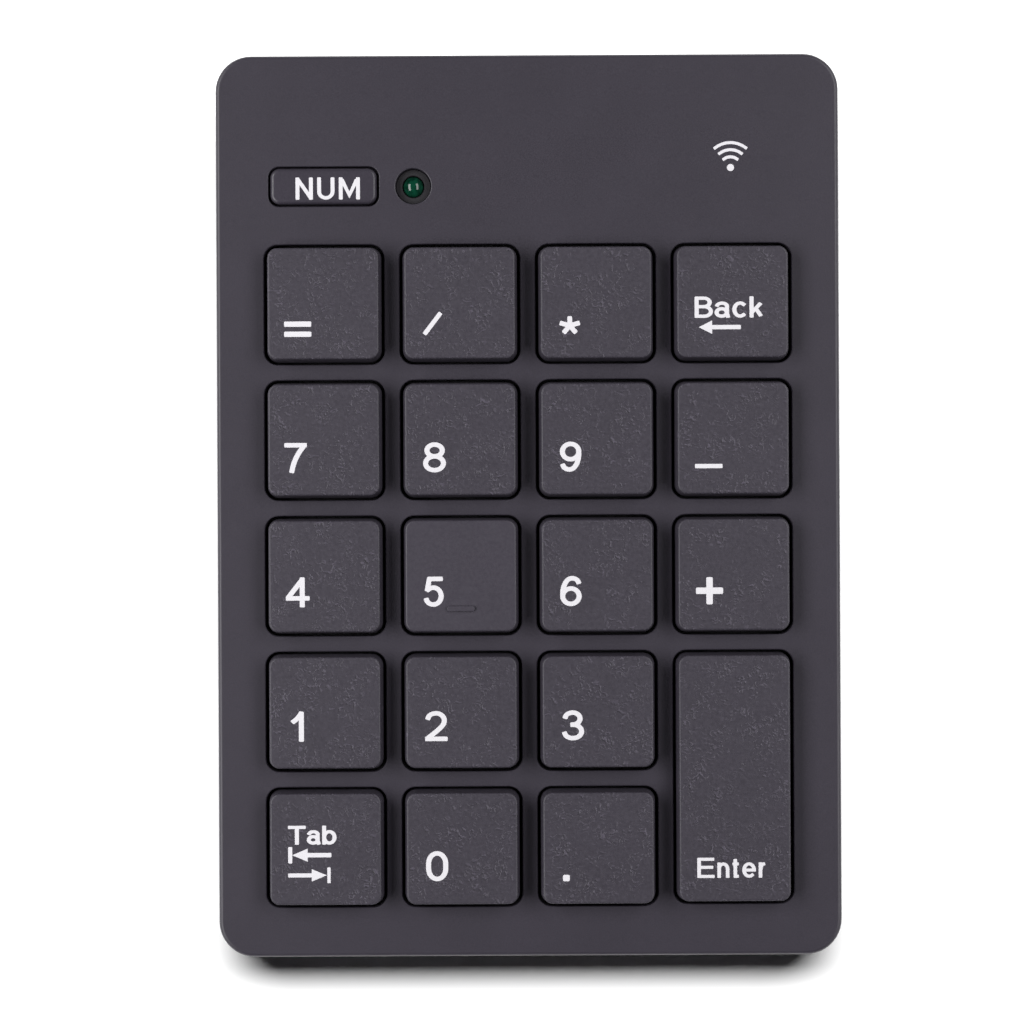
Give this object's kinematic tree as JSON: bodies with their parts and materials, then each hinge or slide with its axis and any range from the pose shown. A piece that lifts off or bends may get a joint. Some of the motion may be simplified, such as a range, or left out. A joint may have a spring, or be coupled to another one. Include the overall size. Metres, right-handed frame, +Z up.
{
  "type": "cordless numeric keypad",
  "caption": "Wedge-shaped cordless numeric keypad with low square keys, a tall enter key, a small number-lock button, a green lamp and a sliding battery door.",
  "frame": {"origin": "on the desk surface, under the middle of the case's outline", "axes": "+X to the user's right, +Y to the rear, away from the user, +Z up"},
  "size_m": [0.0874, 0.1272, 0.0193],
  "materials": {
    "case_plastic": "satin charcoal",
    "base_plastic": "fine-textured charcoal",
    "key_plastic": "fine-speckled matte charcoal",
    "button_plastic": "satin charcoal",
    "inner_plastic": "plain black",
    "switch_black": "moulded black",
    "foot_rubber": "soft black",
    "dome_rubber": "translucent white silicone",
    "contact_film": "clear film",
    "sheet_steel": "zinc-plated",
    "spring_steel": "drawn wire",
    "screw_steel": "black-plated",
    "contact_metal": "nickel-plated",
    "board_laminate": "green solder mask",
    "green_lens": "tinted green",
    "cell_sleeve": "plain printed sleeve",
    "legend_print": "pad-printed white ink"
  },
  "bodies": {
    "case": {"top_case": "case_plastic", "bottom_case": "base_plastic", "case_screws": "screw_steel", "stack_screws": "screw_steel", "board_screws": "screw_steel", "guide_plate": "inner_plastic", "rubber_dome_sheet": "dome_rubber", "base_plate": "sheet_steel", "film_upper": "contact_film", "film_spacer": "contact_film", "film_lower": "contact_film", "battery_cell": "cell_sleeve", "battery_contact_plus": "contact_metal", "battery_contact_minus": "contact_metal", "tact_switch": "switch_black", "lamp_lens": "green_lens", "lamp_leads": "contact_metal", "circuit_board": "board_laminate", "radio_chip": "switch_black", "crystal": "contact_metal", "film_pressure_strip": "dome_rubber", "film_clamp_bar": "sheet_steel", "power_switch_body": "contact_metal", "foot_front_left": "foot_rubber", "foot_rear_left": "foot_rubber", "foot_front_right": "foot_rubber", "foot_rear_right": "foot_rubber"},
    "battery_door": {"battery_door": "base_plastic"},
    "power_switch": {"power_switch_knob": "switch_black", "power_switch_lever": "switch_black"},
    "num_button": {"num_button": "button_plastic", "tact_plunger": "switch_black"},
    "enter_stabiliser": {"enter_stabiliser": "spring_steel"},
    "key_equals": {"key_equals": "key_plastic"},
    "key_divide": {"key_divide": "key_plastic"},
    "key_multiply": {"key_multiply": "key_plastic"},
    "key_backspace": {"key_backspace": "key_plastic"},
    "key_7": {"key_7": "key_plastic"},
    "key_8": {"key_8": "key_plastic"},
    "key_9": {"key_9": "key_plastic"},
    "key_minus": {"key_minus": "key_plastic"},
    "key_4": {"key_4": "key_plastic"},
    "key_5": {"key_5": "key_plastic"},
    "key_6": {"key_6": "key_plastic"},
    "key_plus": {"key_plus": "key_plastic"},
    "key_1": {"key_1": "key_plastic"},
    "key_2": {"key_2": "key_plastic"},
    "key_3": {"key_3": "key_plastic"},
    "key_enter": {"key_enter": "key_plastic"},
    "key_tab": {"key_tab": "key_plastic"},
    "key_0": {"key_0": "key_plastic"},
    "key_decimal": {"key_decimal": "key_plastic"}
  },
  "joints": [
    {"name": "key_equals_press", "type": "slide", "parent": "case", "child": "key_equals", "axis": [0, 0.0523, -0.9986], "range_m": [0, 0.0022], "stiffness_N_per_m": 200, "springref_m": -0.001, "deforming": ["rubber_dome_sheet"]},
    {"name": "key_divide_press", "type": "slide", "parent": "case", "child": "key_divide", "axis": [0, 0.0523, -0.9986], "range_m": [0, 0.0022], "stiffness_N_per_m": 200, "springref_m": -0.001, "deforming": ["rubber_dome_sheet"]},
    {"name": "key_multiply_press", "type": "slide", "parent": "case", "child": "key_multiply", "axis": [0, 0.0523, -0.9986], "range_m": [0, 0.0022], "stiffness_N_per_m": 200, "springref_m": -0.001, "deforming": ["rubber_dome_sheet"]},
    {"name": "key_backspace_press", "type": "slide", "parent": "case", "child": "key_backspace", "axis": [0, 0.0523, -0.9986], "range_m": [0, 0.0022], "stiffness_N_per_m": 200, "springref_m": -0.001, "deforming": ["rubber_dome_sheet"]},
    {"name": "key_7_press", "type": "slide", "parent": "case", "child": "key_7", "axis": [0, 0.0523, -0.9986], "range_m": [0, 0.0022], "stiffness_N_per_m": 200, "springref_m": -0.001, "deforming": ["rubber_dome_sheet"]},
    {"name": "key_8_press", "type": "slide", "parent": "case", "child": "key_8", "axis": [0, 0.0523, -0.9986], "range_m": [0, 0.0022], "stiffness_N_per_m": 200, "springref_m": -0.001, "deforming": ["rubber_dome_sheet"]},
    {"name": "key_9_press", "type": "slide", "parent": "case", "child": "key_9", "axis": [0, 0.0523, -0.9986], "range_m": [0, 0.0022], "stiffness_N_per_m": 200, "springref_m": -0.001, "deforming": ["rubber_dome_sheet"]},
    {"name": "key_minus_press", "type": "slide", "parent": "case", "child": "key_minus", "axis": [0, 0.0523, -0.9986], "range_m": [0, 0.0022], "stiffness_N_per_m": 200, "springref_m": -0.001, "deforming": ["rubber_dome_sheet"]},
    {"name": "key_4_press", "type": "slide", "parent": "case", "child": "key_4", "axis": [0, 0.0523, -0.9986], "range_m": [0, 0.0022], "stiffness_N_per_m": 200, "springref_m": -0.001, "deforming": ["rubber_dome_sheet"]},
    {"name": "key_5_press", "type": "slide", "parent": "case", "child": "key_5", "axis": [0, 0.0523, -0.9986], "range_m": [0, 0.0022], "stiffness_N_per_m": 200, "springref_m": -0.001, "deforming": ["rubber_dome_sheet"]},
    {"name": "key_6_press", "type": "slide", "parent": "case", "child": "key_6", "axis": [0, 0.0523, -0.9986], "range_m": [0, 0.0022], "stiffness_N_per_m": 200, "springref_m": -0.001, "deforming": ["rubber_dome_sheet"]},
    {"name": "key_plus_press", "type": "slide", "parent": "case", "child": "key_plus", "axis": [0, 0.0523, -0.9986], "range_m": [0, 0.0022], "stiffness_N_per_m": 200, "springref_m": -0.001, "deforming": ["rubber_dome_sheet"]},
    {"name": "key_1_press", "type": "slide", "parent": "case", "child": "key_1", "axis": [0, 0.0523, -0.9986], "range_m": [0, 0.0022], "stiffness_N_per_m": 200, "springref_m": -0.001, "deforming": ["rubber_dome_sheet"]},
    {"name": "key_2_press", "type": "slide", "parent": "case", "child": "key_2", "axis": [0, 0.0523, -0.9986], "range_m": [0, 0.0022], "stiffness_N_per_m": 200, "springref_m": -0.001, "deforming": ["rubber_dome_sheet"]},
    {"name": "key_3_press", "type": "slide", "parent": "case", "child": "key_3", "axis": [0, 0.0523, -0.9986], "range_m": [0, 0.0022], "stiffness_N_per_m": 200, "springref_m": -0.001, "deforming": ["rubber_dome_sheet"]},
    {"name": "key_enter_press", "type": "slide", "parent": "case", "child": "key_enter", "axis": [0, 0.0523, -0.9986], "range_m": [0, 0.0022], "stiffness_N_per_m": 250, "springref_m": -0.001, "deforming": ["rubber_dome_sheet"]},
    {"name": "key_tab_press", "type": "slide", "parent": "case", "child": "key_tab", "axis": [0, 0.0523, -0.9986], "range_m": [0, 0.0022], "stiffness_N_per_m": 200, "springref_m": -0.001, "deforming": ["rubber_dome_sheet"]},
    {"name": "key_0_press", "type": "slide", "parent": "case", "child": "key_0", "axis": [0, 0.0523, -0.9986], "range_m": [0, 0.0022], "stiffness_N_per_m": 200, "springref_m": -0.001, "deforming": ["rubber_dome_sheet"]},
    {"name": "key_decimal_press", "type": "slide", "parent": "case", "child": "key_decimal", "axis": [0, 0.0523, -0.9986], "range_m": [0, 0.0022], "stiffness_N_per_m": 200, "springref_m": -0.001, "deforming": ["rubber_dome_sheet"]},
    {"name": "num_button_press", "type": "slide", "parent": "case", "child": "num_button", "axis": [0, 0.0523, -0.9986], "range_m": [0, 0.0004], "stiffness_N_per_m": 2500, "springref_m": -0.0002},
    {"name": "enter_stabiliser_turn", "type": "hinge", "parent": "case", "child": "enter_stabiliser", "pos_m": [0.02328, -0.03846, 0.0097], "axis": [0, 0.9986, 0.0523], "range_deg": [0, 18.73]},
    {"name": "power_switch_slide", "type": "slide", "parent": "case", "child": "power_switch", "axis": [1, 0, 0], "range_m": [0, 0.003]},
    {"name": "battery_door_slide", "type": "slide", "parent": "case", "child": "battery_door", "axis": [0, 1, 0], "range_m": [0, 0.0175]}
  ],
  "couplings": [
    {"joint": "enter_stabiliser_turn", "follows": "key_enter_press", "rad_per_m": 148.46}
  ]
}
